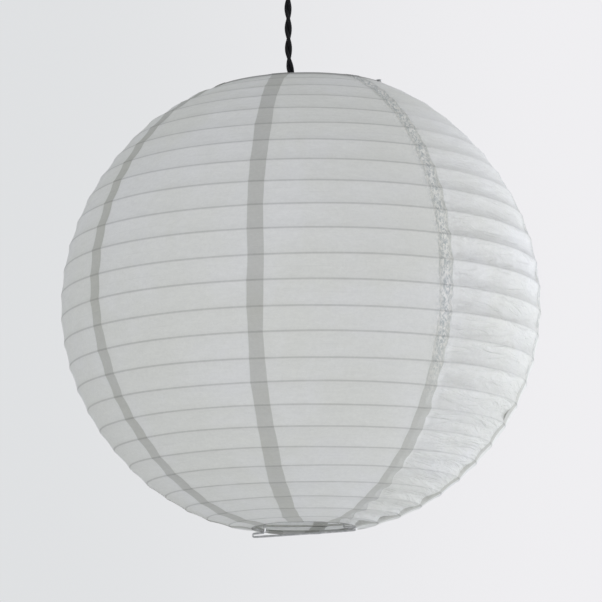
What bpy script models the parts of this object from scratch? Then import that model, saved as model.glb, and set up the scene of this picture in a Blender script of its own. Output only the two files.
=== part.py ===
"""A round paper lantern on a short twisted flex.

The lantern hangs from a ceiling rose.  A wire expander holds its two rings apart,
thin wire ribs give the paper its round form, and eight paper gores cover the ribs.
Metres, +Z up.  The origin is the centre of the ceiling face, and everything hangs
below it.  The expander stands in the XZ plane.
"""

import math

import bpy
import numpy as np
from mathutils import Vector
from mathutils.geometry import interpolate_bezier

# ---------------------------------------------------------------- driving sizes

SHADE_RADIUS = 0.1987          # widest line, to the middle of the rib wire
TOP_RING_RADIUS = 0.0783
BOTTOM_RING_RADIUS = 0.0421
CROWN_HEIGHT = 0.1799          # widest line up to the top ring
BASE_HEIGHT = 0.1838           # widest line down to the bottom ring
CROWN_RISE = 0.0769            # how far each half runs near upright from the widest line
BASE_RISE = 0.1081
CROWN_RUN = (0.0699, 0.0285)   # how far each half runs straight out and back from its ring
BASE_RUN = (0.0639, 0.0022)
RIB_COUNT = 24
RIB_DRIFT = (0.0076, -0.0032, -0.0016)   # slow drift of the rib spacing, as shares of the curve
GORE_COUNT = 8
SIDES = 32                     # straight runs in each rib, and in the whole shade

RIB_WIRE = 0.0008              # wire radii
RING_WIRE = 0.0010
FRAME_WIRE = 0.0009
PAPER = 0.0004
GAP = 0.0003                   # between pieces that touch
GORE_GAP_DEG = 0.14            # between neighbouring gores
FIRST_SEAM_DEG = 22.5

TOP_RING_Z = -0.2000
EQUATOR_Z = TOP_RING_Z - CROWN_HEIGHT
BOTTOM_RING_Z = EQUATOR_Z - BASE_HEIGHT

FLEX_RADIUS = 0.0031
SWING_Z = -0.0453              # the flex swings about this point
FLEX_END_Z = -0.2365
BOW_TOP_Z = -0.0480            # between these heights the flex hangs a little to one side
BOW_END_Z = -0.2220
BOW_RUN = 0.0620               # height over which it leaves the axis, and comes back to it
BOW_DEPTH = 0.0080
BOW_DEG = 212.8

TURNS = 24                     # sides of the small turned pieces

# ---------------------------------------------------------------- collections

COLOURS = {                    # name: colour, roughness, metallic
    "washi_paper": ((0.80, 0.80, 0.79), 0.85, 0.0),
    "rib_wire": ((0.62, 0.62, 0.60), 0.35, 1.0),
    "frame_wire": ((0.70, 0.70, 0.71), 0.28, 1.0),
    "braided_flex": ((0.02, 0.02, 0.025), 0.80, 0.0),
    "black_plastic": ((0.03, 0.03, 0.035), 0.35, 0.0),
    "white_plastic": ((0.86, 0.86, 0.84), 0.30, 0.0),
    "contact_brass": ((0.78, 0.60, 0.28), 0.30, 1.0),
    "insulator_ceramic": ((0.88, 0.87, 0.83), 0.25, 0.0),
    "cap_nickel": ((0.72, 0.72, 0.71), 0.22, 1.0),
    "opal_glass": ((0.93, 0.92, 0.88), 0.20, 0.0),
    "black_glass": ((0.02, 0.02, 0.025), 0.20, 0.0),
    "zinc_screw": ((0.70, 0.71, 0.73), 0.30, 1.0),
    "grommet_rubber": ((0.03, 0.03, 0.03), 0.70, 0.0),
}


def clear_scene():
    for old in list(bpy.data.objects):
        bpy.data.objects.remove(old, do_unlink=True)


clear_scene()
PARTS = bpy.data.collections.new("paper_lantern")
bpy.context.scene.collection.children.link(PARTS)


def material(name):
    """The Principled material of that name, made once for each piece that asks."""
    colour, roughness, metallic = COLOURS[name]
    made = bpy.data.materials.new(name)
    made.use_nodes = True
    shader = made.node_tree.nodes["Principled BSDF"]
    shader.inputs["Base Color"].default_value = (*colour, 1.0)
    shader.inputs["Roughness"].default_value = roughness
    shader.inputs["Metallic"].default_value = metallic
    return made


def place(obj, name, material_name):
    """Name an object, give it its own material and keep it in the part's collection."""
    obj.name = name
    obj.data.name = name
    obj.data.materials.clear()
    obj.data.materials.append(material(material_name))
    for old in list(obj.users_collection):
        old.objects.unlink(obj)
    PARTS.objects.link(obj)
    return obj


def smooth(obj, angle_deg=40.0):
    obj.data.shade_smooth()
    obj.data.set_sharp_from_angle(angle=math.radians(angle_deg))


# ---------------------------------------------------------------- shape makers

def turned(name, profile, material_name, turn_deg=360.0, steps=TURNS, closed=True):
    """Turn (radius, z) points about Z; the outer side of the profile comes first, going down."""
    mesh = bpy.data.meshes.new(name)
    points = [(r, 0.0, z) for r, z in profile]
    edges = [(i, i + 1) for i in range(len(points) - 1)]
    if closed:
        edges.append((len(points) - 1, 0))
    mesh.from_pydata(points, edges, [])
    obj = bpy.data.objects.new(name, mesh)
    PARTS.objects.link(obj)
    screw = obj.modifiers.new("turn", "SCREW")
    screw.axis = "Z"
    screw.angle = math.radians(turn_deg)
    screw.steps = steps
    screw.render_steps = steps
    screw.use_merge_vertices = True
    screw.merge_threshold = 0.00001
    screw.use_smooth_shade = True
    return place(obj, name, material_name)


def disc_profile(radius, top, bottom, edge=0.0):
    """A solid disc from axis to axis, with its two rims chamfered by edge."""
    return [(0.0, top), (radius - edge, top), (radius, top - edge),
            (radius, bottom + edge), (radius - edge, bottom), (0.0, bottom)]


def tube_profile(outer, inner, top, bottom):
    return [(outer, top), (outer, bottom), (inner, bottom), (inner, top)]


def ring(name, radius, wire, z, material_name, wire_sides=6):
    """A closed wire ring; its corners lie on the corners of the shade."""
    bpy.ops.mesh.primitive_torus_add(major_segments=SIDES, minor_segments=wire_sides,
                                     major_radius=radius, minor_radius=wire,
                                     location=(0.0, 0.0, z))
    obj = place(bpy.context.object, name, material_name)
    smooth(obj, 80.0)
    return obj


def wire_tube(name, points, radius, material_name):
    """A bent wire of round section with closed ends."""
    curve = bpy.data.curves.new(name, "CURVE")
    curve.dimensions = "3D"
    curve.bevel_depth = radius
    curve.bevel_resolution = 2
    curve.use_fill_caps = True
    spline = curve.splines.new("POLY")
    spline.points.add(len(points) - 1)
    for spot, point in zip(spline.points, points):
        spot.co = (*point, 1.0)
        spot.radius = 1.0
    obj = bpy.data.objects.new(name, curve)
    PARTS.objects.link(obj)
    return place(obj, name, material_name)


def block(name, size, centre, bevel, material_name):
    bpy.ops.mesh.primitive_cube_add(size=1.0, location=centre)
    obj = bpy.context.object
    for vertex in obj.data.vertices:
        vertex.co = Vector(a * b for a, b in zip(vertex.co, size))
    edge = obj.modifiers.new("edge", "BEVEL")
    edge.width = bevel
    edge.segments = 2
    return place(obj, name, material_name)


def cutter_cylinder(name, radius, depth, centre):
    """A guide cylinder for a Boolean."""
    bpy.ops.mesh.primitive_cylinder_add(vertices=TURNS, radius=radius, depth=depth, location=centre)
    bpy.context.object.name = name
    return bpy.context.object


def cut(obj, cutters):
    """Take the cutters out of a piece, then remove them."""
    for cutter in cutters:
        boolean = obj.modifiers.new(cutter.name, "BOOLEAN")
        boolean.operation = "DIFFERENCE"
        boolean.solver = "EXACT"
        boolean.object = cutter
    shaped = obj.evaluated_get(bpy.context.evaluated_depsgraph_get())
    obj.data = bpy.data.meshes.new_from_object(shaped)
    obj.modifiers.clear()
    for cutter in cutters:
        bpy.data.objects.remove(cutter, do_unlink=True)


def bend(centre, radius, start_deg, end_deg, steps):
    """Points (u, z) along an arc, from one angle to the other."""
    angles = [start_deg + (end_deg - start_deg) * i / steps for i in range(steps + 1)]
    return [(centre[0] + radius * math.cos(math.radians(a)),
             centre[1] + radius * math.sin(math.radians(a))) for a in angles]


# ---------------------------------------------------------------- shade profile

def half_profile(height, ring_radius, rise, run):
    """Points (radius, height) from the widest line to a ring, on one smooth curve."""
    widest = Vector((SHADE_RADIUS, 0.0))
    ring_end = Vector((ring_radius, height))
    curve = interpolate_bezier(widest, widest + Vector((0.0, rise)), ring_end + Vector((run[0], -run[1])),
                               ring_end, 400)
    return np.array([point[:2] for point in curve])


def rib_lines():
    """Ring centres (radius, z), top ring first, at nearly equal steps along the shade's curve."""
    upper = half_profile(CROWN_HEIGHT, TOP_RING_RADIUS, CROWN_RISE, CROWN_RUN)
    lower = half_profile(BASE_HEIGHT, BOTTOM_RING_RADIUS, BASE_RISE, BASE_RUN)
    radius = np.concatenate([upper[::-1, 0], lower[1:, 0]])
    z = np.concatenate([EQUATOR_Z + upper[::-1, 1], EQUATOR_Z - lower[1:, 1]])
    along = np.concatenate([[0.0], np.cumsum(np.hypot(np.diff(radius), np.diff(z)))])
    share = np.linspace(0.0, 1.0, RIB_COUNT + 2)
    drift = sum(size * np.sin(math.pi * waves * share) for waves, size in enumerate(RIB_DRIFT, start=1))
    stops = along[-1] * (share + drift)
    return [(float(r), float(h)) for r, h in zip(np.interp(stops, along, radius), np.interp(stops, along, z))]


LINES = rib_lines()


def paper_line():
    """The paper's inner line (radius, z): over each ring's outer side, with a gap."""
    points = []
    last = len(LINES) - 1
    for i, (radius, z) in enumerate(LINES):
        before = LINES[max(i - 1, 0)]
        after = LINES[min(i + 1, last)]
        run = Vector((after[0] - before[0], after[1] - before[1])).normalized()
        wire = RING_WIRE if i in (0, last) else RIB_WIRE
        stand_off = wire + GAP
        points.append((radius - run.y * stand_off, z + run.x * stand_off))
    return points


# ---------------------------------------------------------------- ceiling rose

ROSE_PLATE_R = 0.0380
ROSE_PLATE_Z = -0.0040
ROSE_WALL_R = 0.0320
ROSE_WALL_Z = -0.0170
STEM_R = 0.0080
STEM_BORE_R = 0.0056
STEM_MOUTH_Z = -0.0470
COVER_BOTTOM_Z = -0.0385
COVER_HOLE_R = STEM_R + GAP
FIXING_X = 0.0205              # the two fixing screws, either side of the stem
TERMINAL_Y = 0.0190


def make_rose():
    wall_inner = ROSE_WALL_R - 0.0020
    base = turned("rose_base", [(0.0, 0.0), (ROSE_PLATE_R, 0.0), (ROSE_PLATE_R, ROSE_PLATE_Z),
                                (ROSE_WALL_R, ROSE_PLATE_Z), (ROSE_WALL_R, ROSE_WALL_Z),
                                (wall_inner, ROSE_WALL_Z), (wall_inner, ROSE_PLATE_Z),
                                (0.0, ROSE_PLATE_Z)], "white_plastic", closed=False)
    cut(base, [cutter_cylinder("fixing_hole", 0.0022, 0.02, (x, 0.0, 0.0)) for x in (-FIXING_X, FIXING_X)])
    head_z = ROSE_PLATE_Z - GAP
    for side, x in (("left", -FIXING_X), ("right", FIXING_X)):
        screw = turned(f"rose_fixing_screw_{side}",
                       [(0.0, 0.0), (0.0018, 0.0), (0.0018, head_z), (0.0038, head_z),
                        (0.0034, head_z - 0.0018), (0.0018, head_z - 0.0026), (0.0, head_z - 0.0028)],
                       "zinc_screw", steps=12, closed=False)
        screw.location.x = x

    block("rose_terminal_block", (0.026, 0.011, 0.009), (0.0, TERMINAL_Y, head_z - 0.0045), 0.0006,
          "white_plastic")
    screw_top = head_z - 0.009 - GAP
    for wire, x in (("live", -0.0065), ("neutral", 0.0065)):
        screw = turned(f"rose_terminal_screw_{wire}", disc_profile(0.0023, screw_top, screw_top - 0.0022, 0.0004),
                       "contact_brass", steps=12, closed=False)
        screw.location = (x, TERMINAL_Y, 0.0)

    turned("rose_cord_anchor",
           [(0.0, head_z), (STEM_R + 0.0025, head_z), (STEM_R, head_z - 0.003), (STEM_R, STEM_MOUTH_Z + 0.001),
            (STEM_R - 0.001, STEM_MOUTH_Z), (STEM_BORE_R, STEM_MOUTH_Z), (STEM_BORE_R, STEM_MOUTH_Z + 0.017),
            (0.0, STEM_MOUTH_Z + 0.017)], "white_plastic", closed=False)

    skin = 0.0018
    inner_r = ROSE_WALL_R + GAP
    outer_r = inner_r + skin
    outer = [(outer_r + 0.0012, head_z), (outer_r + 0.0012, head_z - 0.003), (outer_r, head_z - 0.006)]
    outer += bend((outer_r - 0.014, COVER_BOTTOM_Z + 0.014), 0.014, 0.0, -80.0, 5)
    outer += [(COVER_HOLE_R + 0.002, COVER_BOTTOM_Z), (COVER_HOLE_R, COVER_BOTTOM_Z + 0.0004)]
    inner = [(COVER_HOLE_R, COVER_BOTTOM_Z + skin)]
    inner += bend((outer_r - 0.014, COVER_BOTTOM_Z + 0.014), 0.014 - skin, -80.0, 0.0, 5)
    inner += [(inner_r, head_z)]
    turned("rose_cover", outer + inner, "white_plastic")


# ---------------------------------------------------------------- flex and holder

NECK_TOP_Z = -0.2230
CAP_BOTTOM_Z = -0.2645
FLANGE_TOP_Z = -0.2655
FLANGE_Z = -0.2685             # underside of the flange that the collar clamps to
HOLDER_R = 0.0195
COLLAR_Z = -0.2703
COLLAR_R = 0.0245
SHADE_NUT_Z = -0.2721          # top of the threaded ring under the collar
HOLDER_BOTTOM_Z = -0.3050


def flex_line(z):
    """The flex's centre at a height: it leaves the rose and enters the holder on the axis."""
    away = BOW_DEPTH
    for run in (BOW_TOP_Z - z, z - BOW_END_Z):
        share = min(1.0, max(0.0, run / BOW_RUN))
        away *= share * share * (3.0 - 2.0 * share)
    turn = math.radians(BOW_DEG)
    return away * math.cos(turn), away * math.sin(turn), z


def make_flex():
    top = SWING_Z + 0.001
    steps = 32
    points = [flex_line(top + (FLEX_END_Z - top) * i / steps) for i in range(steps + 1)]
    wire_tube("twisted_flex", points, FLEX_RADIUS, "braided_flex")
    outside = bend((0.0, SWING_Z), STEM_BORE_R - 1.5 * GAP, 14.0, -14.0, 5)
    turned("cord_grommet", outside + [(0.0046, SWING_Z - 0.0012), (0.0041, SWING_Z), (0.0046, SWING_Z + 0.0012)],
           "grommet_rubber")


def make_holder():
    bore = FLEX_RADIUS + GAP
    skin = 0.0018
    outer = [(0.0062, NECK_TOP_Z), (0.0070, NECK_TOP_Z - 0.001), (0.0074, NECK_TOP_Z - 0.008)]
    outer += bend((HOLDER_R - 0.0125, CAP_BOTTOM_Z + 0.0200), 0.0125, 75.0, 0.0, 5)
    outer += [(HOLDER_R, CAP_BOTTOM_Z)]
    inner = [(HOLDER_R - skin, CAP_BOTTOM_Z)]
    inner += bend((HOLDER_R - 0.0125, CAP_BOTTOM_Z + 0.0200), 0.0125 - skin, 0.0, 70.0, 5)
    inner += [(bore + 0.0052, NECK_TOP_Z - 0.0105), (bore, NECK_TOP_Z - 0.008), (bore, NECK_TOP_Z)]
    turned("holder_cap", outer + inner, "black_plastic")

    turned("holder_cord_grip", tube_profile(0.0072, bore, FLEX_END_Z + 0.0035, FLEX_END_Z + 0.0005), "white_plastic")

    body_r = HOLDER_R + 0.0002
    flange_r = COLLAR_R + 0.0030
    turned("holder_body",
           [(HOLDER_R, CAP_BOTTOM_Z - GAP), (HOLDER_R, FLANGE_TOP_Z), (flange_r, FLANGE_TOP_Z),
            (flange_r, FLANGE_Z), (body_r, FLANGE_Z), (body_r, HOLDER_BOTTOM_Z + 0.001),
            (body_r - 0.001, HOLDER_BOTTOM_Z), (0.0170, HOLDER_BOTTOM_Z), (0.0165, HOLDER_BOTTOM_Z + 0.001),
            (0.0165, CAP_BOTTOM_Z - GAP)], "black_plastic")
    insert_top = -0.2655
    insert_bottom = -0.2725
    turned("holder_insert", disc_profile(0.0162, insert_top, insert_bottom, 0.0005), "insulator_ceramic",
           closed=False)
    tongue_top = insert_bottom - GAP
    turned("holder_centre_contact",
           [(0.0, tongue_top), (0.0045, tongue_top), (0.0045, tongue_top - 0.0008), (0.0024, tongue_top - 0.0022),
            (0.0, tongue_top - 0.0024)], "contact_brass", steps=12, closed=False)
    turned("holder_thread_shell", tube_profile(0.0160, 0.0136, -0.2790, -0.3030), "contact_brass")

    nut_r = COLLAR_R + 0.0040
    nut_inner = body_r + GAP
    turned("holder_shade_ring",
           [(nut_r - 0.001, SHADE_NUT_Z), (nut_r, SHADE_NUT_Z - 0.001), (nut_r, SHADE_NUT_Z - 0.0060),
            (nut_r - 0.004, SHADE_NUT_Z - 0.0095), (nut_inner, SHADE_NUT_Z - 0.0095), (nut_inner, SHADE_NUT_Z)],
           "black_plastic")


# ---------------------------------------------------------------- bulb

BULB_TIP_Z = -0.2756
BULB_CAP_R = 0.0132
BULB_CAP_SKIN = 0.0006
BULB_SHOULDER_R = 0.0095               # hole in the end of the cap, round the black insulator
BULB_GLASS_R = 0.0300
BULB_GLASS_SKIN = 0.0010
BULB_CENTRE_Z = -0.3550
BULB_NECK_Z = -0.3310


def make_bulb():
    cap_top = BULB_TIP_Z - 0.0035
    cap_bottom = cap_top - 0.0220
    turned("bulb_tip_contact", disc_profile(0.0048, BULB_TIP_Z, cap_top + GAP, 0.0008), "contact_brass",
           steps=12, closed=False)
    inner_cap_r = BULB_CAP_R - BULB_CAP_SKIN
    turned("bulb_screw_cap",
           [(BULB_SHOULDER_R, cap_top), (BULB_CAP_R - 0.0012, cap_top), (BULB_CAP_R, cap_top - 0.0012),
            (BULB_CAP_R, cap_bottom), (inner_cap_r, cap_bottom), (inner_cap_r, cap_top - 0.0016),
            (BULB_SHOULDER_R, cap_top - BULB_CAP_SKIN)], "cap_nickel")
    plug_r = BULB_SHOULDER_R - GAP
    turned("bulb_cap_insulator",
           [(0.0, cap_top), (plug_r - 0.0008, cap_top), (plug_r, cap_top - 0.0008), (plug_r, cap_top - 0.0030),
            (0.0, cap_top - 0.0030)], "black_glass", closed=False)
    collar_top = cap_bottom - GAP
    drop = BULB_NECK_Z - BULB_CENTRE_Z
    neck_r = math.sqrt(BULB_GLASS_R ** 2 - drop ** 2)
    turned("bulb_collar",
           [(0.0, collar_top), (0.0125, collar_top), (0.0150, collar_top - 0.006), (neck_r, BULB_NECK_Z + 4 * GAP),
            (neck_r, BULB_NECK_Z + GAP), (0.0, BULB_NECK_Z + GAP)], "white_plastic", closed=False)
    outer = bend((0.0, BULB_CENTRE_Z), BULB_GLASS_R, math.degrees(math.asin(drop / BULB_GLASS_R)), -90.0, 9)
    inner_r = BULB_GLASS_R - BULB_GLASS_SKIN
    inner = bend((0.0, BULB_CENTRE_Z), inner_r, -90.0, math.degrees(math.asin(drop / inner_r)), 9)
    turned("bulb_glass", [(0.0, inner[0][1]), *inner[1:], *outer[:-1], (0.0, outer[-1][1])], "opal_glass",
           closed=False)


# ---------------------------------------------------------------- expander

LEG_X = BOTTOM_RING_RADIUS - 0.0036
LEG_TOP_Z = TOP_RING_Z - 0.0430        # the legs are upright below this, clear of the folded ring
HAIRPIN_R = 0.0015
FOOT_Z = BOTTOM_RING_Z - RING_WIRE - PAPER - 2 * GAP - FRAME_WIRE
FOOT_X = 0.0490                        # centre of the hairpin bend beyond the bottom ring
HOOK_SEAT_Z = TOP_RING_Z - RING_WIRE - GAP - FRAME_WIRE
HOOK_RISER_X = TOP_RING_RADIUS - RING_WIRE - GAP - FRAME_WIRE - 0.0008
HOOK_TOP_Z = TOP_RING_Z + RING_WIRE + PAPER + 1.5 * GAP + FRAME_WIRE


def half_expander():
    """Points (x, z) of one side: from the middle of the crossbar to the tip of the top hook."""
    bar_z = FOOT_Z - 2 * HAIRPIN_R
    corner = 0.0020
    points = [(0.0, bar_z), (0.019, bar_z), (FOOT_X, bar_z)]
    points += bend((FOOT_X, bar_z + HAIRPIN_R), HAIRPIN_R, -60.0, 90.0, 5)
    points += bend((LEG_X + corner, FOOT_Z + corner), corner, 270.0, 180.0, 3)
    points += [(LEG_X, EQUATOR_Z), (LEG_X, LEG_TOP_Z - 0.004), (LEG_X + 0.0012, LEG_TOP_Z + 0.002)]
    seat_low = HOOK_SEAT_Z - 2 * HAIRPIN_R
    points += [(HOOK_RISER_X - 0.0045, seat_low - 0.0028), (HOOK_RISER_X - 0.0020, seat_low)]
    points += bend((TOP_RING_RADIUS - 0.0012, seat_low + HAIRPIN_R), HAIRPIN_R, -90.0, 90.0, 6)
    points += bend((HOOK_RISER_X + 0.0012, HOOK_SEAT_Z + 0.0012), 0.0012, 250.0, 180.0, 2)
    points += bend((HOOK_RISER_X + 0.0024, HOOK_TOP_Z - 0.0024), 0.0024, 180.0, 90.0, 4)
    points += [(TOP_RING_RADIUS + 0.0018, HOOK_TOP_Z), (TOP_RING_RADIUS + 0.0036, HOOK_TOP_Z - 0.0010)]
    return points


def make_expander():
    right = half_expander()
    left = [(-x, z) for x, z in reversed(right[1:])]
    wire_tube("expander_wire", [(x, 0.0, z) for x, z in left + right], FRAME_WIRE, "frame_wire")
    ring("expander_collar", COLLAR_R, FRAME_WIRE, COLLAR_Z, "frame_wire")
    inner = COLLAR_R + FRAME_WIRE + GAP
    outer = LEG_X - FRAME_WIRE - GAP
    for side, sign in (("left", -1.0), ("right", 1.0)):
        wire_tube(f"expander_arm_{side}", [(sign * inner, 0.0, COLLAR_Z), (sign * outer, 0.0, COLLAR_Z)],
                  FRAME_WIRE, "frame_wire")


# ---------------------------------------------------------------- shade

def make_shade():
    ring("top_ring", LINES[0][0], RING_WIRE, LINES[0][1], "frame_wire")
    ring("bottom_ring", LINES[-1][0], RING_WIRE, LINES[-1][1], "frame_wire")
    for i, (radius, z) in enumerate(LINES[1:-1], start=1):
        ring(f"rib_{i:02d}", radius, RIB_WIRE, z, "rib_wire", wire_sides=4)

    profile = paper_line()
    gore_deg = 360.0 / GORE_COUNT
    for i in range(GORE_COUNT):
        gore = turned(f"gore_{i + 1}", profile, "washi_paper", turn_deg=gore_deg - GORE_GAP_DEG,
                      steps=SIDES // GORE_COUNT, closed=False)
        gore.rotation_euler.z = math.radians(FIRST_SEAM_DEG + i * gore_deg + GORE_GAP_DEG / 2)
        sheet = gore.modifiers.new("paper", "SOLIDIFY")
        sheet.thickness = PAPER
        sheet.offset = 1.0


make_rose()
make_flex()
make_holder()
make_bulb()
make_expander()
make_shade()
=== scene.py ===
import math

import bmesh
import bpy
import numpy as np
from mathutils import Matrix, Vector, noise


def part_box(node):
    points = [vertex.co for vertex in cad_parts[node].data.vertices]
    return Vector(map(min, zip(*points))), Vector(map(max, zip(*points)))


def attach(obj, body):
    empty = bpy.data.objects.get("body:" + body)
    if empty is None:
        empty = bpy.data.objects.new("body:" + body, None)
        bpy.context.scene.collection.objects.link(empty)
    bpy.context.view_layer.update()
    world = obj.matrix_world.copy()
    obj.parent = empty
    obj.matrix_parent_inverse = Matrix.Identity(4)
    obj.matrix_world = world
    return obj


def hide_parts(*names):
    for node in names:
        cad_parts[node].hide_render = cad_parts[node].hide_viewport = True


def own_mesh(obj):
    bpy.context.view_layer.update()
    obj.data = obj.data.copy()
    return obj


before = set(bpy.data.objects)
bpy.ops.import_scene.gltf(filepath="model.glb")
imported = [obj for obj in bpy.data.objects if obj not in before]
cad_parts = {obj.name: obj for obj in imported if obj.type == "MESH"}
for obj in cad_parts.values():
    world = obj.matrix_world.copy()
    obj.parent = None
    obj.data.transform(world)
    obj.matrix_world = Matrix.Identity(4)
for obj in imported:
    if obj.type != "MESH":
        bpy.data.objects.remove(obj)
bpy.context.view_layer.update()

# ---------------------------------------------------------------- sizes, in metres

RIBS = 24
GORES = 8
FIRST_SEAM_DEG = 22.5
RING_WIRE = 0.0010
RIB_WIRE = 0.0008
PAPER_CLEARANCE = 0.00025
OVERLAP = 0.0130               # how far one gore's edge lies over the next
OVERLAP_LIFT = 0.00030
TOP_TILT = 0.0012              # how far the top ring rises on one side, and the bottom ring on another
BOTTOM_TILT = 0.0014
HOOP_SWAY = 0.0009             # how far a rib is out of flat
FLEX_RADIUS = 0.0031
TWIST_PITCH = 0.0350           # one full turn of the two cores
TWIST_START = 2.12             # turn of the two cores at the top, in radians
FLEX_TOP_Z = -0.0443           # the flex's route, as in the part: a slight bow to one side
FLEX_END_Z = -0.2365
BOW_TOP_Z = -0.0480            # the bow starts and ends at these heights
BOW_END_Z = -0.2220
BOW_RUN = 0.0620               # height over which it eases in at either end
BOW_DEPTH = 0.0080
BOW_DEG = 212.8                # the direction it leans to

# ---------------------------------------------------------------- small helpers


def link(obj):
    bpy.context.scene.collection.objects.link(obj)
    return obj


def mesh_object(name, vertices, faces, smooth=True):
    mesh = bpy.data.meshes.new(name)
    mesh.from_pydata([tuple(v) for v in vertices], [], faces)
    mesh.update()
    if smooth:
        mesh.shade_smooth()
    return link(bpy.data.objects.new(name, mesh))


def grid_faces(rows, columns, wrap_columns=False, wrap_rows=False):
    """Quads over a grid of points stored row by row."""
    faces = []
    for i in range(rows if wrap_rows else rows - 1):
        for j in range(columns if wrap_columns else columns - 1):
            a, b = i * columns + j, i * columns + (j + 1) % columns
            below = ((i + 1) % rows) * columns
            faces.append((a, below + j, below + (j + 1) % columns, b))
    return faces


def finish_piece(obj, body, replaced):
    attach(obj, body)
    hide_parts(replaced)


def ring_size(node, wire):
    """(radius, height) of a wire ring's centre line."""
    low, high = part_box(node)
    return high.x - wire, (low.z + high.z) / 2


# ---------------------------------------------------------------- camera

TOP = ring_size("top_ring", RING_WIRE)
BOTTOM = ring_size("bottom_ring", RING_WIRE)
LINES = [TOP] + [ring_size(f"rib_{k:02d}", RIB_WIRE) for k in range(1, RIBS + 1)] + [BOTTOM]
WIDEST_Z = max(LINES)[1]

VIEW_AZIMUTH = math.radians(32.8)      # direction of the picture's right-hand side
VIEW_BELOW = math.radians(9.64)        # how far the camera looks up
VIEW_DISTANCE = 2.40
VIEW_ROLL = math.radians(-0.7)
VIEW_DROP = 0.1752             # the point looked at, below the top ring
SENSOR = 36.0
LENS = 171.95


def make_camera():
    back = Vector((math.sin(VIEW_AZIMUTH) * math.cos(VIEW_BELOW),
                   -math.cos(VIEW_AZIMUTH) * math.cos(VIEW_BELOW), -math.sin(VIEW_BELOW)))
    aim = Vector((0.0, 0.0, TOP[1] - VIEW_DROP))
    data = bpy.data.cameras.new("view")
    data.sensor_width = SENSOR
    data.lens = LENS
    data.clip_start = 0.05
    data.clip_end = 50.0
    camera = link(bpy.data.objects.new("view", data))
    turn = (-back).to_track_quat("-Z", "Y").to_matrix() @ Matrix.Rotation(VIEW_ROLL, 3, "Z")
    camera.matrix_world = Matrix.Translation(aim + back * VIEW_DISTANCE) @ turn.to_4x4()
    bpy.context.scene.camera = camera


make_camera()

# ---------------------------------------------------------------- material helpers


class Nodes:
    """A material's node tree, with short calls for the nodes that repeat."""

    def __init__(self, name, roughness, metallic=0.0):
        self.material = bpy.data.materials.new(name)
        self.material.use_nodes = True
        self.tree = self.material.node_tree
        self.shader = self.tree.nodes["Principled BSDF"]
        self.output = self.tree.nodes["Material Output"]
        self.shader.inputs["Roughness"].default_value = roughness
        self.shader.inputs["Metallic"].default_value = metallic

    def add(self, kind, **settings):
        node = self.tree.nodes.new(kind)
        for key, value in settings.items():
            setattr(node, key, value)
        return node

    def put(self, value, socket):
        if isinstance(value, bpy.types.NodeSocket):
            self.tree.links.new(value, socket)
        elif isinstance(value, tuple) and len(value) == 3 and socket.type == "RGBA":
            socket.default_value = (*value, 1.0)
        else:
            socket.default_value = value

    def math(self, operation, a, b=0.0, clamp=False):
        node = self.add("ShaderNodeMath", operation=operation, use_clamp=clamp)
        self.put(a, node.inputs[0])
        self.put(b, node.inputs[1])
        return node.outputs[0]

    def ramp(self, value, low, high, to_low=0.0, to_high=1.0):
        """A value eased from to_low, where it is low, to to_high, where it is high."""
        node = self.add("ShaderNodeMapRange", interpolation_type="SMOOTHSTEP")
        self.put(value, node.inputs["Value"])
        node.inputs["From Min"].default_value = low
        node.inputs["From Max"].default_value = high
        node.inputs["To Min"].default_value = to_low
        node.inputs["To Max"].default_value = to_high
        return node.outputs["Result"]

    def noise(self, vector, scale, detail=3.0, roughness=0.55, distortion=0.0):
        node = self.add("ShaderNodeTexNoise", noise_dimensions="3D")
        self.put(vector, node.inputs["Vector"])
        node.inputs["Scale"].default_value = scale
        node.inputs["Detail"].default_value = detail
        node.inputs["Roughness"].default_value = roughness
        node.inputs["Distortion"].default_value = distortion
        return node.outputs["Fac"]

    def stretch(self, vector, scale, offset=(0.0, 0.0, 0.0)):
        node = self.add("ShaderNodeMapping")
        self.put(vector, node.inputs["Vector"])
        node.inputs["Scale"].default_value = scale
        node.inputs["Location"].default_value = offset
        return node.outputs["Vector"]

    def mix(self, factor, a, b, blend="MIX"):
        node = self.add("ShaderNodeMix", data_type="RGBA", blend_type=blend)
        self.put(factor, node.inputs[0])
        self.put(a, node.inputs[6])
        self.put(b, node.inputs[7])
        return node.outputs[2]

    def uv(self, name):
        return self.add("ShaderNodeUVMap", uv_map=name).outputs["UV"]

    def place(self):
        return self.add("ShaderNodeTexCoord").outputs["Object"]

    def attribute(self, name):
        return self.add("ShaderNodeAttribute", attribute_name=name).outputs["Fac"]

    def towards_one(self, value, share):
        """A value lifted towards 1 by a share."""
        lift = self.math("MULTIPLY", self.math("SUBTRACT", 1.0, value), share)
        return self.math("ADD", value, lift, clamp=True)

    def bump(self, height, distance, strength=1.0, normal=None):
        node = self.add("ShaderNodeBump")
        self.put(height, node.inputs["Height"])
        node.inputs["Distance"].default_value = distance
        node.inputs["Strength"].default_value = strength
        if normal is not None:
            self.put(normal, node.inputs["Normal"])
        return node.outputs["Normal"]


# ---------------------------------------------------------------- materials

PAPER_WARM = (0.918, 0.926, 0.899)
PAPER_COOL = (0.926, 0.933, 0.939)
OVERLAP_SHADE_TONE = 0.79            # painted shade where two layers of paper over each other let less light through
PASTED_BLUE = 0.975            # the glue takes a little blue away there
RIB_SHADOW_TONE = 0.82                # painted shadow: the thin dark line where a rib shows through
HEM_SHADE_TONE = 0.62                # painted shade where the paper wraps round the top ring, and the same at the bottom ring
BOTTOM_HEM_SHADE_TONE = 0.66
# tint of the painted shade and painted highlights in the crumpled seams
CREASE_SHADE_TINT = (1.0, 0.90, 0.84)
THROUGH_SHARE = 0.30           # light that passes the paper


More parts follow.
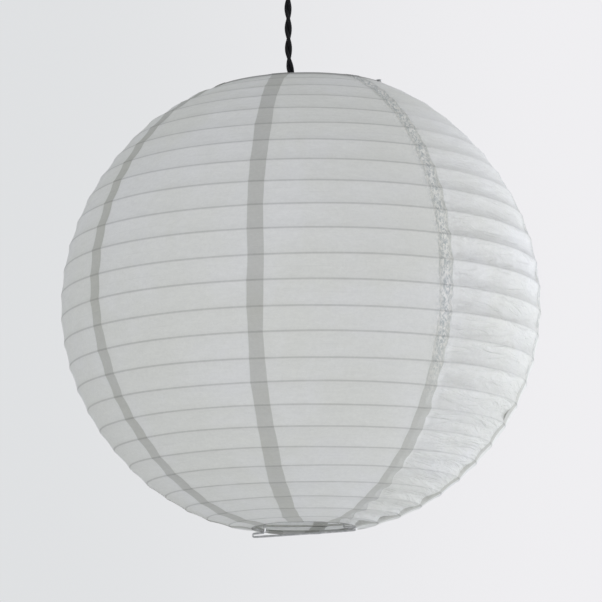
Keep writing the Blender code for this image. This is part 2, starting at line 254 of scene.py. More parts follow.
def washi(index):
    """Thin fibrous paper.  washi_uv is in metres on the sheet; shade_uv is the distance from the
    glued edges (1 where the overlap ends) and the count of ribs from the top ring.  The attributes
    are crumple, 1 along the crumpled seams, and loose and baggy, 1 on the slack gore."""
    n = Nodes(f"washi_paper_{index}", roughness=0.86)
    sheet = n.uv("washi_uv")
    across = n.add("ShaderNodeSeparateXYZ")
    n.put(n.uv("shade_uv"), across.inputs[0])
    edge, ribs = across.outputs["X"], across.outputs["Y"]
    shift = (index * 0.37, index * 0.71, 0.0)

    clouds = n.noise(n.stretch(sheet, (1.0, 1.0, 1.0), shift), 9.0, 4.0, 0.6, 0.4)
    streaks = n.noise(n.stretch(sheet, (70.0, 300.0, 1.0), shift), 1.0, 5.0, 0.65, 0.8)
    fibres = n.noise(n.stretch(sheet, (420.0, 1500.0, 1.0), shift), 1.0, 2.0, 0.6, 1.2)
    mottle = n.noise(n.stretch(sheet, (1.0, 1.0, 1.0), shift), 330.0, 4.0, 0.7, 0.6)
    blots = n.noise(n.stretch(sheet, (1.0, 0.6, 1.0), shift), 420.0, 3.0, 0.72, 0.5)

    colour = n.mix(n.ramp(clouds, 0.35, 0.68), PAPER_WARM, PAPER_COOL)
    tone = n.ramp(streaks, 0.32, 0.74, 0.975, 1.01)
    tone = n.math("MULTIPLY", tone, n.ramp(fibres, 0.3, 0.8, 0.98, 1.01))
    tone = n.math("MULTIPLY", tone, n.ramp(mottle, 0.3, 0.7, 0.972, 1.012))
    tone = n.math("MULTIPLY", tone, n.ramp(clouds, 0.3, 0.75, 0.972, 1.012))

    crumple = n.attribute("crumple")
    loose = n.attribute("loose")
    # painted shade over the glued overlap strips, taken away along the crumpled seams
    overlap = n.ramp(edge, 0.97, 1.02, OVERLAP_SHADE_TONE, 1.0)
    overlap = n.towards_one(overlap, crumple)
    tone = n.math("MULTIPLY", tone, overlap)
    nearest = n.math("PINGPONG", ribs, 0.5)
    # painted shadow: a thin dark line at each rib, faded out on the slack gore
    rib_shadow_line = n.ramp(nearest, 0.018, 0.050, RIB_SHADOW_TONE, 1.0)
    rib_shadow_line = n.towards_one(rib_shadow_line, loose)
    tone = n.math("MULTIPLY", tone, rib_shadow_line)

    # painted light and shade: each slack band is painted lighter at its top and darker lower down, and a
    # painted shadow marks a faint crease along the middle of some tight ones
    baggy = n.attribute("baggy")
    down = n.ramp(n.math("FRACT", ribs), 0.10, 0.95, 1.05, 0.93)
    down = n.math("MULTIPLY", baggy, n.math("SUBTRACT", down, 1.0))
    tone = n.math("MULTIPLY", tone, n.math("ADD", 1.0, down))
    fold_shade = n.ramp(nearest, 0.470, 0.495, 1.0, 0.972)
    seen = n.ramp(n.noise(n.stretch(sheet, (14.0, 30.0, 1.0), shift), 1.0, 2.0), 0.50, 0.62)
    fold_shade = n.math("ADD", 1.0, n.math("MULTIPLY", seen, n.math("SUBTRACT", fold_shade, 1.0)))
    tone = n.math("MULTIPLY", tone, fold_shade)
    # painted shade: darker where the paper wraps the top and bottom rings, and a little darker over the
    # doubled hem below the top ring
    tone = n.math("MULTIPLY", tone, n.ramp(ribs, 0.14, 0.26, HEM_SHADE_TONE, 1.0))
    tone = n.math("MULTIPLY", tone, n.ramp(ribs, RIBS + 0.93, RIBS + 0.97, 1.0, BOTTOM_HEM_SHADE_TONE))
    tone = n.math("MULTIPLY", tone, n.ramp(ribs, 0.28, 0.34, 0.95, 1.0))

    # painted shade and painted highlights in the crumpled seams' creases, bluish where darker
    crease_shade_highlight = n.ramp(blots, 0.37, 0.63, 0.68, 1.16)
    crease_light_change = n.math("MULTIPLY", crumple, n.math("SUBTRACT", crease_shade_highlight, 1.0))
    value = n.add("ShaderNodeCombineColor")
    pasted = n.towards_one(n.ramp(edge, 0.97, 1.02, PASTED_BLUE, 1.0), crumple)
    for channel, share in enumerate(CREASE_SHADE_TINT):
        tinted = n.math("ADD", 1.0, n.math("MULTIPLY", crease_light_change, share))
        tinted = n.math("MULTIPLY", tinted, pasted if channel == 2 else 1.0)
        n.put(n.math("MULTIPLY", tone, tinted), value.inputs[channel])
    colour = n.mix(1.0, colour, value.outputs[0], "MULTIPLY")
    n.put(colour, n.shader.inputs["Base Color"])

    grain = n.math("ADD", n.math("MULTIPLY", streaks, 0.5), n.math("MULTIPLY", mottle, 0.5))
    normal = n.bump(grain, 0.00028, 0.6)
    normal = n.bump(n.math("MULTIPLY", blots, crumple), 0.0010, 0.8, normal)
    wrinkles = n.noise(n.stretch(sheet, (26.0, 120.0, 1.0), shift), 1.0, 3.0, 0.55, 1.8)
    normal = n.bump(n.math("MULTIPLY", wrinkles, baggy), 0.0030, 0.8, normal)
    n.put(normal, n.shader.inputs["Normal"])
    n.put(n.ramp(fibres, 0.3, 0.8, 0.92, 0.80), n.shader.inputs["Roughness"])

    through = n.add("ShaderNodeBsdfTranslucent")
    n.put(colour, through.inputs["Color"])
    n.put(normal, through.inputs["Normal"])
    both = n.add("ShaderNodeMixShader")
    both.inputs["Fac"].default_value = THROUGH_SHARE
    n.tree.links.new(n.shader.outputs[0], both.inputs[1])
    n.tree.links.new(through.outputs[0], both.inputs[2])
    n.tree.links.new(both.outputs[0], n.output.inputs["Surface"])
    return n.material


def drawn_wire(name, bright, dark, metallic=1.0):
    """Zinc-coated drawn wire: fine lines round it, cloudy coating and a few dull patches."""
    n = Nodes(name, roughness=0.3, metallic=metallic)
    place = n.place()
    cloudy = n.noise(place, 160.0, 4.0, 0.6)
    specks = n.noise(place, 1400.0, 2.0, 0.6)
    n.put(n.mix(n.ramp(cloudy, 0.35, 0.7), dark, bright), n.shader.inputs["Base Color"])
    n.put(n.ramp(cloudy, 0.3, 0.75, 0.42, 0.24), n.shader.inputs["Roughness"])
    n.put(n.bump(specks, 0.00004, 0.5), n.shader.inputs["Normal"])
    return n.material


def moulded(name, colour, roughness, wear):
    """Moulded plastic, rubber or ceramic: a faint orange-peel skin and lighter, duller patches."""
    n = Nodes(name, roughness=roughness)
    place = n.place()
    drift = n.noise(place, 55.0, 3.0, 0.5)
    peel = n.noise(place, 900.0, 2.0, 0.5)
    lighter = tuple(min(1.0, c * (1.0 + wear) + 0.004) for c in colour)
    n.put(n.mix(n.ramp(drift, 0.35, 0.7), colour, lighter), n.shader.inputs["Base Color"])
    n.put(n.ramp(drift, 0.3, 0.7, roughness * 0.85, roughness * 1.25), n.shader.inputs["Roughness"])
    n.put(n.bump(peel, 0.00006, 0.6), n.shader.inputs["Normal"])
    return n.material


def polished_metal(name, bright, dark, roughness):
    """Bright metal with a cloudy tarnish and fine scratches round it."""
    n = Nodes(name, roughness=roughness, metallic=1.0)
    place = n.place()
    tarnish = n.noise(place, 120.0, 4.0, 0.65)
    scratches = n.noise(n.stretch(place, (60.0, 60.0, 2600.0)), 1.0, 3.0, 0.6)
    n.put(n.mix(n.ramp(tarnish, 0.35, 0.75), dark, bright), n.shader.inputs["Base Color"])
    n.put(n.ramp(tarnish, 0.3, 0.8, roughness * 1.5, roughness * 0.8), n.shader.inputs["Roughness"])
    n.put(n.bump(scratches, 0.00003, 0.5), n.shader.inputs["Normal"])
    return n.material


def braid():
    """Black cotton braid: two sets of threads cross round each core.  braid_uv counts threads."""
    n = Nodes("black_braid", roughness=0.8)
    parts = n.add("ShaderNodeSeparateXYZ")
    n.put(n.uv("braid_uv"), parts.inputs[0])
    u, v = parts.outputs["X"], parts.outputs["Y"]
    one = n.math("SINE", n.math("MULTIPLY", n.math("ADD", u, v), math.pi))
    two = n.math("SINE", n.math("MULTIPLY", n.math("SUBTRACT", u, v), math.pi))
    weave = n.math("MAXIMUM", n.math("ABSOLUTE", one), n.math("ABSOLUTE", two))
    fuzz = n.noise(n.place(), 2600.0, 3.0, 0.7)
    height = n.math("ADD", n.math("MULTIPLY", weave, 0.8), n.math("MULTIPLY", fuzz, 0.4))
    # painted shade: the weave is coloured darker where its height is low, between the threads
    n.put(n.mix(n.ramp(height, 0.6, 1.1), (0.003, 0.003, 0.004), (0.013, 0.013, 0.015)),
          n.shader.inputs["Base Color"])
    n.put(n.bump(height, 0.00022, 0.9), n.shader.inputs["Normal"])
    n.shader.inputs["Specular IOR Level"].default_value = 0.22
    return n.material


def opal():
    """Opal white glass of an unlit bulb: a smooth skin over a milky, slightly uneven coating."""
    n = Nodes("opal_glass", roughness=0.16)
    milk = n.noise(n.place(), 45.0, 3.0, 0.5)
    n.put(n.mix(n.ramp(milk, 0.3, 0.75), (0.86, 0.855, 0.83), (0.90, 0.895, 0.875)),
          n.shader.inputs["Base Color"])
    n.put(n.ramp(milk, 0.3, 0.75, 0.20, 0.12), n.shader.inputs["Roughness"])
    n.shader.inputs["Coat Weight"].default_value = 0.4
    n.shader.inputs["Coat Roughness"].default_value = 0.06
    return n.material


WASHI = [washi(i) for i in range(GORES)]
FRAME_WIRE_METAL = drawn_wire("galvanised_wire", (0.74, 0.74, 0.74), (0.52, 0.53, 0.54))
RIB_WIRE_METAL = drawn_wire("rib_wire", (0.74, 0.74, 0.71), (0.60, 0.60, 0.58), 0.2)
BLACK_PLASTIC = moulded("black_plastic", (0.022, 0.022, 0.024), 0.34, 0.35)
WHITE_PLASTIC = moulded("white_plastic", (0.80, 0.80, 0.775), 0.30, 0.03)
BULB_PLASTIC = moulded("bulb_plastic", (0.83, 0.83, 0.81), 0.42, 0.02)
CERAMIC = moulded("ceramic", (0.80, 0.785, 0.74), 0.55, 0.05)
BLACK_GLASS = moulded("black_glass", (0.014, 0.014, 0.018), 0.14, 0.3)
RUBBER = moulded("rubber", (0.018, 0.018, 0.018), 0.75, 0.5)
BRASS = polished_metal("brass", (0.80, 0.61, 0.27), (0.52, 0.37, 0.14), 0.24)
NICKEL = polished_metal("nickel", (0.74, 0.73, 0.71), (0.55, 0.54, 0.52), 0.20)
ZINC = polished_metal("zinc", (0.70, 0.71, 0.73), (0.50, 0.50, 0.52), 0.28)
BRAID = braid()
OPAL = opal()

# ---------------------------------------------------------------- flex

CORE_RADIUS = FLEX_RADIUS / 2 * 0.99   # the two cores just fit the flex's diameter
CORE_SIDES = 18
CORE_STEP = 0.0008
THREADS_ROUND = 8.0                    # braid threads counted round a core, and the length of one
THREAD_LENGTH = 0.0011
ROUTE_STEPS = 40


def flex_line(z):
    """The flex's centre at a height."""
    away = BOW_DEPTH
    for run in (BOW_TOP_Z - z, z - BOW_END_Z):
        share = min(1.0, max(0.0, run / BOW_RUN))
        away *= share * share * (3.0 - 2.0 * share)
    turn = math.radians(BOW_DEG)
    return Vector((away * math.cos(turn), away * math.sin(turn), z))


def make_flex():
    """Two braided cores twisted round each other, from the rose down into the holder."""
    core, around = CORE_RADIUS, CORE_SIDES
    steps = round((FLEX_TOP_Z - FLEX_END_Z) / CORE_STEP)
    rows = steps + 1
    vertices, faces, uvs = [], [], []
    for strand in range(2):
        start = len(vertices)
        for i in range(rows):
            z = FLEX_TOP_Z + (FLEX_END_Z - FLEX_TOP_Z) * i / steps
            middle = flex_line(z)
            down = (flex_line(z - 0.001) - flex_line(z + 0.001)).normalized()
            turn = TWIST_START + 2 * math.pi * (FLEX_TOP_Z - z) / TWIST_PITCH + strand * math.pi
            centre = Vector((math.cos(turn), math.sin(turn), 0.0)) * core
            pull = 2 * math.pi * core / TWIST_PITCH
            along = (Vector((-math.sin(turn), math.cos(turn), 0.0)) * pull + down).normalized()
            side = along.cross(centre).normalized()
            out = side.cross(along)
            for j in range(around):
                angle = 2 * math.pi * j / around
                vertices.append(middle + centre + (out * math.cos(angle) + side * math.sin(angle)) * core)
        for quad in grid_faces(rows, around, wrap_columns=True):
            faces.append(tuple(start + k for k in reversed(quad)))
            i, j = divmod(quad[0], around)
            corners = [(i, j), (i + 1, j), (i + 1, j + 1), (i, j + 1)]
            uvs.extend((c / around * THREADS_ROUND, r * CORE_STEP / THREAD_LENGTH)
                       for r, c in reversed(corners))
        for end in (0, steps):
            cap = [start + end * around + j for j in range(around)]
            faces.append(tuple(cap if end == 0 else reversed(cap)))
            uvs.extend((j / around * THREADS_ROUND, 0.0) for j in range(around))
    flex = mesh_object("twisted_flex_cores", vertices, faces)
    layer = flex.data.uv_layers.new(name="braid_uv")
    layer.data.foreach_set("uv", np.array(uvs, np.float32).ravel())
    flex.data.materials.append(BRAID)
    finish_piece(flex, "pendant", "twisted_flex")
    route = [tuple(flex_line(FLEX_TOP_Z + (FLEX_END_Z - FLEX_TOP_Z) * i / ROUTE_STEPS))
             for i in range(ROUTE_STEPS + 1)]


# ---------------------------------------------------------------- ribs and rings

HOOP_POINTS = 128
WIRE_SIDES = 10


def rib_sway(count, azimuth):
    """How far a rib's wire dips or rises: each hoop is a little out of flat and out of level."""
    near = noise.noise(Vector((math.cos(azimuth) * 1.3, math.sin(azimuth) * 1.3, count * 0.83)))
    top_share = max(0.0, 1.0 - count / 3.0)
    bottom_share = max(0.0, 1.0 - (RIBS + 1 - count) / 3.0)
    tilt = top_share * TOP_TILT * math.cos(azimuth - VIEW_AZIMUTH)
    tilt += bottom_share * BOTTOM_TILT * math.cos(azimuth - VIEW_AZIMUTH + math.pi / 2)
    return HOOP_SWAY * near * (1.0 - 0.7 * max(top_share, bottom_share)) + tilt


def make_hoop(name, count, wire, material):
    radius, height = LINES[count]
    around, sides = HOOP_POINTS, WIRE_SIDES
    vertices = []
    for i in range(around):
        azimuth = 2 * math.pi * i / around
        for j in range(sides):
            angle = 2 * math.pi * j / sides
            r = radius + wire * math.cos(angle)
            vertices.append((r * math.cos(azimuth), r * math.sin(azimuth),
                             height + rib_sway(count, azimuth) + wire * math.sin(angle)))
    faces = [tuple(reversed(f)) for f in grid_faces(around, sides, wrap_columns=True, wrap_rows=True)]
    hoop = mesh_object(name, vertices, faces)
    hoop.data.materials.append(material)
    return hoop


def make_ribs():
    for count in range(1, RIBS + 1):
        node = f"rib_{count:02d}"
        hoop = make_hoop(f"{node}_wire", count, RIB_WIRE, RIB_WIRE_METAL)
        finish_piece(hoop, node, node)
    top = make_hoop("top_ring_wire", 0, RING_WIRE, FRAME_WIRE_METAL)
    finish_piece(top, "shade_frame", "top_ring")
    bottom = make_hoop("bottom_ring_wire", RIBS + 1, RING_WIRE, FRAME_WIRE_METAL)
    finish_piece(bottom, "bottom_ring", "bottom_ring")


# ---------------------------------------------------------------- paper

BAND_STOPS = (0.0, 0.05, 0.14, 0.26, 0.38, 0.50, 0.62, 0.74, 0.86, 0.95)   # rows between two ribs
ACROSS = [*np.linspace(0.0, 0.14, 17)[:-1], *np.linspace(0.14, 0.86, 32), *np.linspace(0.86, 1.0, 17)[1:]]
COLUMNS = len(ACROSS)          # points across a gore, closer together at its seams
HEMS = (0.0070, 0.0025)        # paper turned in round the top ring and the bottom ring
HEM_STEP = 0.02                # a hem row's step in the count of ribs
CRUMPLED_SEAMS = {-22.5: 1.0, 22.5: 0.8}       # direction and strength of each
CRUMPLE_REACH = 0.0066
CRUMPLE_DEPTH = 0.0007
CRUMPLE_LAST_RIB = 17.0        # below this rib both seams are smooth
SLACK_HALF_DEG = 22.5          # the slack gore, from its middle to a seam
SLACK_EASE_DEG = 4.0
TIGHT_SAG = 0.00070            # how far taut paper sags in between two ribs
TIGHT_SAG_BROAD = 0.00045      # how much that changes over the lantern, and over a few millimetres
TIGHT_SAG_FINE = 0.00016
SLACK_SAG = 0.00180
SLACK_SAG_BAND = 0.00260       # how much the slack bands differ
SLACK_SAG_LEAST = 0.0003


def paper_points():
    """Where the paper's inner face passes each ring, with the outward normal there (radius, height)."""
    points = []
    last = len(LINES) - 1
    for i, (radius, height) in enumerate(LINES):
        before, after = LINES[max(i - 1, 0)], LINES[min(i + 1, last)]
        run = Vector((after[0] - before[0], after[1] - before[1])).normalized()
        normal = Vector((-run.y, run.x))
        wire = (RING_WIRE if i in (0, last) else RIB_WIRE) + PAPER_CLEARANCE
        points.append((Vector((radius, height)) + normal * wire, normal))
    return points


PAPER_LINE = paper_points()


def band_rows():
    """(rib count, band share) of each row of points, top ring to bottom ring."""
    rows = [(k, t) for k in range(RIBS + 1) for t in BAND_STOPS]
    rows.append((RIBS, 1.0))
    return rows


def hem_rows(which):
    """Points (radius, height) of the paper's turned-in hem, from its free edge to the ring's outer side."""
    radius, height = LINES[which]
    centre = Vector((radius, height))
    normal = PAPER_LINE[which][1]
    size = RING_WIRE + PAPER_CLEARANCE
    start = math.atan2(normal.y, normal.x)
    inward = 1.0 if which == 0 else -1.0
    arc = [centre + Vector((math.cos(start + inward * a), math.sin(start + inward * a))) * size
           for a in np.linspace(math.radians(205.0), math.radians(22.0), 9)]
    away = PAPER_LINE[1][0] - PAPER_LINE[0][0] if which == 0 else PAPER_LINE[-2][0] - PAPER_LINE[-1][0]
    away.normalize()
    hem = HEMS[0] if which == 0 else HEMS[1]
    flap = [arc[0] + away * share * hem - normal * 0.0004 * share for share in (1.0, 0.66, 0.33)]
    return flap + arc


def seam_half_width(seam, rib):
    """Half the overlap at a seam, a little wider or narrower at each rib, as hand-cut strips are."""
    wander = noise.noise(Vector((seam * 7.3 + 0.4, rib * 0.9, 3.1)))
    return OVERLAP / 2 + 0.0011 * wander


def seam_shift(seam, rib):
    """How far a seam wanders sideways at each rib."""
    step = noise.noise(Vector((seam * 3.1 + 9.2, rib * 1.7, 0.6)))
    slow = noise.noise(Vector((seam * 5.7 + 2.2, rib * 0.22, 8.6)))
    return 0.0010 * step + 0.0016 * slow


def at_rib(function, seam, count, share):
    return function(seam, count) * (1.0 - share) + function(seam, count + 1) * share


def turn_from(azimuth, degrees):
    """Signed turn in degrees from a direction to an azimuth."""
    return (math.degrees(azimuth) - degrees + 180.0) % 360.0 - 180.0


def crumple_weight(azimuth, rib, radius):
    """1 along the two crumpled seams, falling off within a few millimetres either side."""
    weight = 0.0
    for seam_deg, amount in CRUMPLED_SEAMS.items():
        away = math.radians(turn_from(azimuth, seam_deg)) * radius
        fade = min(1.0, max(0.0, (CRUMPLE_LAST_RIB - rib) / 3.0))
        weight = max(weight, amount * fade * math.exp(-(away / CRUMPLE_REACH) ** 2))
    return weight


def slack(azimuth):
    """1 on the loosely pasted gore between the two crumpled seams, 0 on the others."""
    return min(1.0, max(0.0, (SLACK_HALF_DEG - abs(turn_from(azimuth, 0.0))) / SLACK_EASE_DEG))


def surface_offset(azimuth, count, share, radius, height):
    """How far the paper stands out (+) or in (-) from the straight line between two ribs."""
    free = 4.0 * share * (1.0 - share)
    x, y = math.cos(azimuth) * radius, math.sin(azimuth) * radius
    broad = noise.noise(Vector((x * 22.0, y * 22.0, height * 30.0)))
    fine = noise.noise(Vector((x * 95.0, y * 95.0, height * 150.0)))
    loose = slack(azimuth)
    calm = min(1.0, max(0.0, (count - 3.0) / 6.0))
    tight = 1.0 - 0.8 * loose * (1.0 - calm)
    offset = -free * tight * (TIGHT_SAG + TIGHT_SAG_BROAD * broad - TIGHT_SAG_FINE * fine)
    if loose > 0.0:
        inside = min(1.0, max(0.0, (share - 0.05) / 0.90))
        belly = math.sin(math.pi * inside ** 1.9)
        band = noise.noise(Vector((azimuth * 3.4, count * 1.9, 5.2)))
        offset -= loose * calm * belly * max(SLACK_SAG_LEAST, SLACK_SAG + SLACK_SAG_BAND * band)
        run = turn_from(azimuth, -SLACK_HALF_DEG) * math.radians(radius)
        folds = noise.noise(Vector((run * 34.0 + height * 40.0, height * 300.0 - run * 60.0, 2.7)))
        creases = noise.ridged_multi_fractal(Vector((run * 60.0, height * 210.0 - run * 75.0, 9.1)),
                                             0.9, 2.1, 2, 0.9, 2.0) - 1.0
        near_seam = math.exp(-run / 0.050)
        lively = loose * free * (0.2 + 0.8 * calm)
        offset += lively * (0.00060 + 0.00150 * near_seam) * folds
        offset += lively * (0.00030 + 0.00050 * near_seam) * creases
    crumple = crumple_weight(azimuth, count + share, radius)
    if crumple > 0.02:
        spot = Vector((x * 230.0, y * 230.0, height * 170.0))
        crease = noise.ridged_multi_fractal(spot, 0.9, 2.1, 3, 0.9, 2.0) - 1.0
        offset += crumple * CRUMPLE_DEPTH * crease * (0.35 + 0.65 * free)
    if free < 0.05:
        offset = max(offset, 0.0)
    return offset, crumple, loose


def gore_grid(index):
    """The points, sheet sizes and shading values of one gore, row by row."""
    seam_low, seam_high = index, index + 1
    low_az = math.radians(FIRST_SEAM_DEG + 45.0 * seam_low)
    high_az = math.radians(FIRST_SEAM_DEG + 45.0 * seam_high)
    rows = []
    hem_top, hem_bottom = hem_rows(0), hem_rows(RIBS + 1)
    for k, spot in enumerate(hem_top[:-1]):
        rows.append((0, 0.0, spot, None, (k - len(hem_top)) * HEM_STEP))
    for count, share in band_rows():
        (a, na), (b, nb) = PAPER_LINE[count], PAPER_LINE[count + 1]
        rows.append((count, share, a.lerp(b, share), na.lerp(nb, share).normalized(), count + share))
    for k, spot in enumerate(reversed(hem_bottom[:-1])):
        rows.append((RIBS, 1.0, spot, None, RIBS + 1 + (k + 1) * HEM_STEP))

    grid, sheet_uv, shade_uv, marks, lengths = [], [], [], [], []
    along = 0.0
    previous = rows[0][2]
    for count, share, spot, normal, rib in rows:
        along += (spot - previous).length
        previous = spot
        radius, height = spot
        low_seam, high_seam = seam_low % GORES, seam_high % GORES
        low_edge = low_az + (at_rib(seam_shift, low_seam, count, share)
                             - at_rib(seam_half_width, low_seam, count, share)) / radius
        high_edge = high_az + (at_rib(seam_shift, high_seam, count, share)
                               + at_rib(seam_half_width, high_seam, count, share)) / radius
        low_overlap = 2 * at_rib(seam_half_width, low_seam, count, share)
        high_overlap = 2 * at_rib(seam_half_width, high_seam, count, share)
        width = (high_edge - low_edge) * radius
        lengths.append((along, width))
        for j in range(COLUMNS):
            across = ACROSS[j]
            azimuth = low_edge + (high_edge - low_edge) * across
            from_low, from_high = across * width, (1.0 - across) * width
            r, z, crumple, loose = radius, height, 0.0, 0.0
            if normal is not None:
                offset, crumple, loose = surface_offset(azimuth, count, share, radius, height)
                lift = OVERLAP_LIFT * min(1.0, max(0.0, (high_overlap + 0.003 - from_high) / 0.003))
                r += normal.x * (offset + lift)
                z += normal.y * (offset + lift)
            sway = rib_sway(count, azimuth) * (1.0 - share) + rib_sway(count + 1, azimuth) * share
            grid.append((r * math.cos(azimuth), r * math.sin(azimuth), z + sway))
            sheet_uv.append((across * width - width / 2 + 0.2 * index, along))
            edge = min(from_low / low_overlap, from_high / high_overlap)
            shade_uv.append((edge, rib))
            hidden = 1.0 - 0.5 * min(1.0, max(0.0, (count - 5.0) / 3.0))
            marks.append((crumple, loose * hidden, loose * min(1.0, count / 9.0) ** 2))
    return len(rows), grid, sheet_uv, shade_uv, marks, lengths


def make_gore(index):
    rows, grid, sheet_uv, shade_uv, marks, lengths = gore_grid(index)
    faces = [tuple(reversed(f)) for f in grid_faces(rows, COLUMNS)]
    gore = mesh_object(f"paper_gore_{index + 1}", grid, faces)
    mesh = gore.data
    corners = np.zeros(len(mesh.loops), np.int32)
    mesh.loops.foreach_get("vertex_index", corners)
    for name, values in (("washi_uv", sheet_uv), ("shade_uv", shade_uv)):
        layer = mesh.uv_layers.new(name=name)
        layer.data.foreach_set("uv", np.array(values, np.float32)[corners].ravel())
    for k, name in enumerate(("crumple", "loose", "baggy")):
        mark = mesh.attributes.new(name, "FLOAT", "POINT")
        mark.data.foreach_set("value", np.array([m[k] for m in marks], np.float32))
    mesh.materials.append(WASHI[index])
    finish_piece(gore, "shade_frame", f"gore_{index + 1}")
    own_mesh(gore)


# ---------------------------------------------------------------- CAD nodes kept, with finished skins

SHARP = math.radians(33.0)     # an edge that turns more than this stays sharp
MERGE = 0.000002


def rounded_copy(node, name, material, levels):
    """A CAD node's own mesh with its facets rounded off and its sharp edges kept."""
    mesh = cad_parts[node].data.copy()
    mesh.name = name
    work = bmesh.new()
    work.from_mesh(mesh)
    bmesh.ops.remove_doubles(work, verts=work.verts, dist=MERGE)
    bmesh.ops.join_triangles(work, faces=work.faces, angle_face_threshold=0.02,
                             angle_shape_threshold=math.pi)
    crease = work.edges.layers.float.get("crease_edge") or work.edges.layers.float.new("crease_edge")
    for edge in work.edges:
        sharp = len(edge.link_faces) != 2 or edge.calc_face_angle(0.0) > SHARP
        edge[crease] = 0.9 if sharp else 0.0
    work.to_mesh(mesh)
    work.free()
    mesh.materials.clear()
    mesh.materials.append(material)
    mesh.shade_smooth()
    obj = link(bpy.data.objects.new(name, mesh))
    rounding = obj.modifiers.new("rounding", "SUBSURF")
    rounding.levels = levels
    rounding.render_levels = levels
    return obj


KEPT = [
    # CAD node, new piece, body, slot, material, rounding levels
    ("expander_wire", "expander_wire_bent", "shade_frame", "frame_wire", FRAME_WIRE_METAL, 1),
    ("expander_collar", "expander_collar_hoop", "shade_frame", "frame_wire", FRAME_WIRE_METAL, 2),
    ("expander_arm_left", "expander_arm_left_rod", "shade_frame", "frame_wire", FRAME_WIRE_METAL, 2),
    ("expander_arm_right", "expander_arm_right_rod", "shade_frame", "frame_wire", FRAME_WIRE_METAL, 2),
    ("holder_cap", "holder_cap_shell", "pendant", "holder_plastic", BLACK_PLASTIC, 2),
    ("holder_body", "holder_body_shell", "pendant", "holder_plastic", BLACK_PLASTIC, 2),
    ("holder_cord_grip", "holder_cord_grip_ring", "pendant", "holder_grip_plastic", WHITE_PLASTIC, 2),
    ("holder_insert", "holder_insert_disc", "pendant", "insulator_ceramic", CERAMIC, 2),
    ("holder_centre_contact", "holder_contact_tongue", "pendant", "brass", BRASS, 2),
    ("holder_thread_shell", "holder_shell_tube", "pendant", "brass", BRASS, 2),
    ("holder_shade_ring", "holder_shade_nut", "shade_nut", "holder_plastic", BLACK_PLASTIC, 2),
    ("bulb_glass", "bulb_globe", "bulb", "opal_glass", OPAL, 2),
    ("bulb_collar", "bulb_collar_cone", "bulb", "bulb_plastic", BULB_PLASTIC, 2),
    ("bulb_screw_cap", "bulb_cap_shell", "bulb", "cap_nickel", NICKEL, 2),
    ("bulb_cap_insulator", "bulb_cap_plug", "bulb", "cap_insulator", BLACK_GLASS, 2),
    ("bulb_tip_contact", "bulb_tip_stud", "bulb", "brass", BRASS, 2),
    ("rose_base", "rose_base_plate", "root", "rose_plastic", WHITE_PLASTIC, 2),
    ("rose_cover", "rose_cover_dome", "rose_cover", "rose_plastic", WHITE_PLASTIC, 2),
    ("rose_cord_anchor", "rose_cord_stem", "root", "rose_plastic", WHITE_PLASTIC, 2),
    ("rose_terminal_block", "rose_terminal_bar", "root", "rose_plastic", WHITE_PLASTIC, 2),
    ("rose_terminal_screw_live", "rose_live_screw", "root", "brass", BRASS, 2),
    ("rose_terminal_screw_neutral", "rose_neutral_screw", "root", "brass", BRASS, 2),
    ("rose_fixing_screw_left", "rose_left_screw", "root", "zinc_screw", ZINC, 2),
    ("rose_fixing_screw_right", "rose_right_screw", "root", "zinc_screw", ZINC, 2),
    ("cord_grommet", "rose_grommet_ring", "cord_gimbal", "grommet_rubber", RUBBER, 2),
]


def make_kept():
    for node, name, body, slot, material, levels in KEPT:
        finish_piece(rounded_copy(node, name, material, levels), body, node)


# ---------------------------------------------------------------- floor and light

FLOOR_HALF = 9.0
FLOOR_Z = -1.65
WALL_LEFT = (0.740, 0.752, 0.765)      # the room's tones, seen as the background
WALL_RIGHT = (0.868, 0.862, 0.882)
CEILING = (0.37, 0.38, 0.39)
LAMP_DISTANCE = 2.2
WINDOW_TURN = math.radians(22.0)       # from the picture's right-hand side, away from the camera
FILL_TURN = math.radians(100.0)        # from the same side, towards the camera


def make_stage():
    n = Nodes("floor_paint", roughness=0.7)
    n.put(n.mix(n.ramp(n.noise(n.place(), 3.0), 0.3, 0.7), (0.80, 0.80, 0.80), (0.83, 0.83, 0.83)),
          n.shader.inputs["Base Color"])
    corners = [(x * FLOOR_HALF, y * FLOOR_HALF, FLOOR_Z) for x, y in ((-1, -1), (1, -1), (1, 1), (-1, 1))]
    floor = mesh_object("floor", corners, [(0, 1, 2, 3)], smooth=False)
    floor.data.materials.append(n.material)


def area_light(name, place, size, power, colour):
    data = bpy.data.lights.new(name, "AREA")
    data.shape = "RECTANGLE"
    data.size, data.size_y = size
    data.energy = power
    data.color = colour
    lamp = link(bpy.data.objects.new(name, data))
    lamp.location = place
    lamp.rotation_mode = "QUATERNION"
    lamp.rotation_quaternion = (Vector((0.0, 0.0, WIDEST_Z)) - Vector(place)).to_track_quat("-Z", "Y")


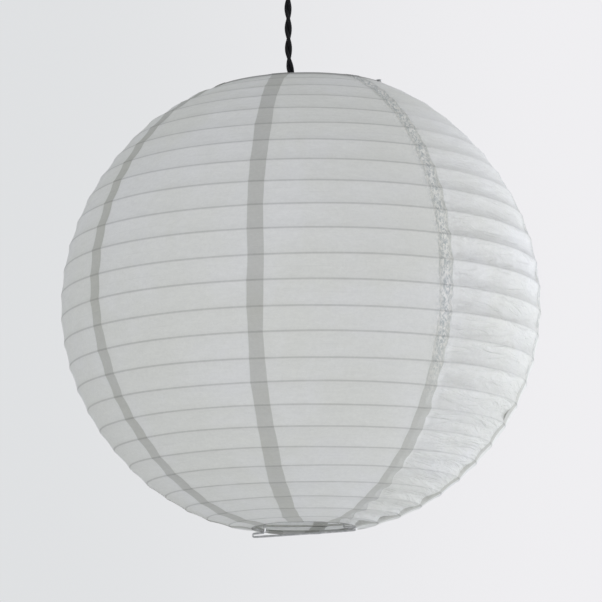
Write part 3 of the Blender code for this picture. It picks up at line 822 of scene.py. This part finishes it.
def side_share(tree, heading, direction, low, high):
    """0 to 1 as a world direction turns towards another."""
    dot = tree.nodes.new("ShaderNodeVectorMath")
    dot.operation = "DOT_PRODUCT"
    tree.links.new(heading, dot.inputs[0])
    dot.inputs[1].default_value = direction
    ramp = tree.nodes.new("ShaderNodeMapRange")
    ramp.interpolation_type = "SMOOTHSTEP"
    tree.links.new(dot.outputs["Value"], ramp.inputs["Value"])
    ramp.inputs["From Min"].default_value = low
    ramp.inputs["From Max"].default_value = high
    return ramp.outputs["Result"]


def blend_colours(tree, share, first, second):
    mix = tree.nodes.new("ShaderNodeMix")
    mix.data_type = "RGBA"
    tree.links.new(share, mix.inputs[0])
    for value, socket in ((first, mix.inputs[6]), (second, mix.inputs[7])):
        if isinstance(value, tuple):
            socket.default_value = (*value, 1.0)
        else:
            tree.links.new(value, socket)
    return mix.outputs[2]


def make_light():
    world = bpy.data.worlds.new("room")
    bpy.context.scene.world = world
    world.use_nodes = True
    tree = world.node_tree
    background = tree.nodes["Background"]
    heading = tree.nodes.new("ShaderNodeTexCoord").outputs["Generated"]
    side = (math.cos(VIEW_AZIMUTH), math.sin(VIEW_AZIMUTH), 0.0)
    wall = side_share(tree, heading, side, -0.11, 0.11)
    ceiling = side_share(tree, heading, (0.0, 0.0, 1.0), 0.30, 0.95)
    shade = blend_colours(tree, wall, WALL_LEFT, WALL_RIGHT)
    shade = blend_colours(tree, ceiling, shade, CEILING)
    tree.links.new(shade, background.inputs["Color"])
    background.inputs["Strength"].default_value = 1.0
    right = VIEW_AZIMUTH + WINDOW_TURN
    window = Vector((math.cos(right), math.sin(right), -0.26)) * LAMP_DISTANCE
    area_light("window", window, (1.5, 1.8), 33.0, (0.93, 0.955, 1.0))
    front = VIEW_AZIMUTH - FILL_TURN
    fill = Vector((math.cos(front), math.sin(front), -0.50)) * LAMP_DISTANCE
    area_light("fill", fill, (1.6, 0.8), 8.0, (1.0, 0.995, 0.975))
    bpy.context.scene.view_settings.view_transform = "Standard"


make_flex()
make_ribs()
for gore_index in range(GORES):
    make_gore(gore_index)
make_kept()
make_stage()
make_light()
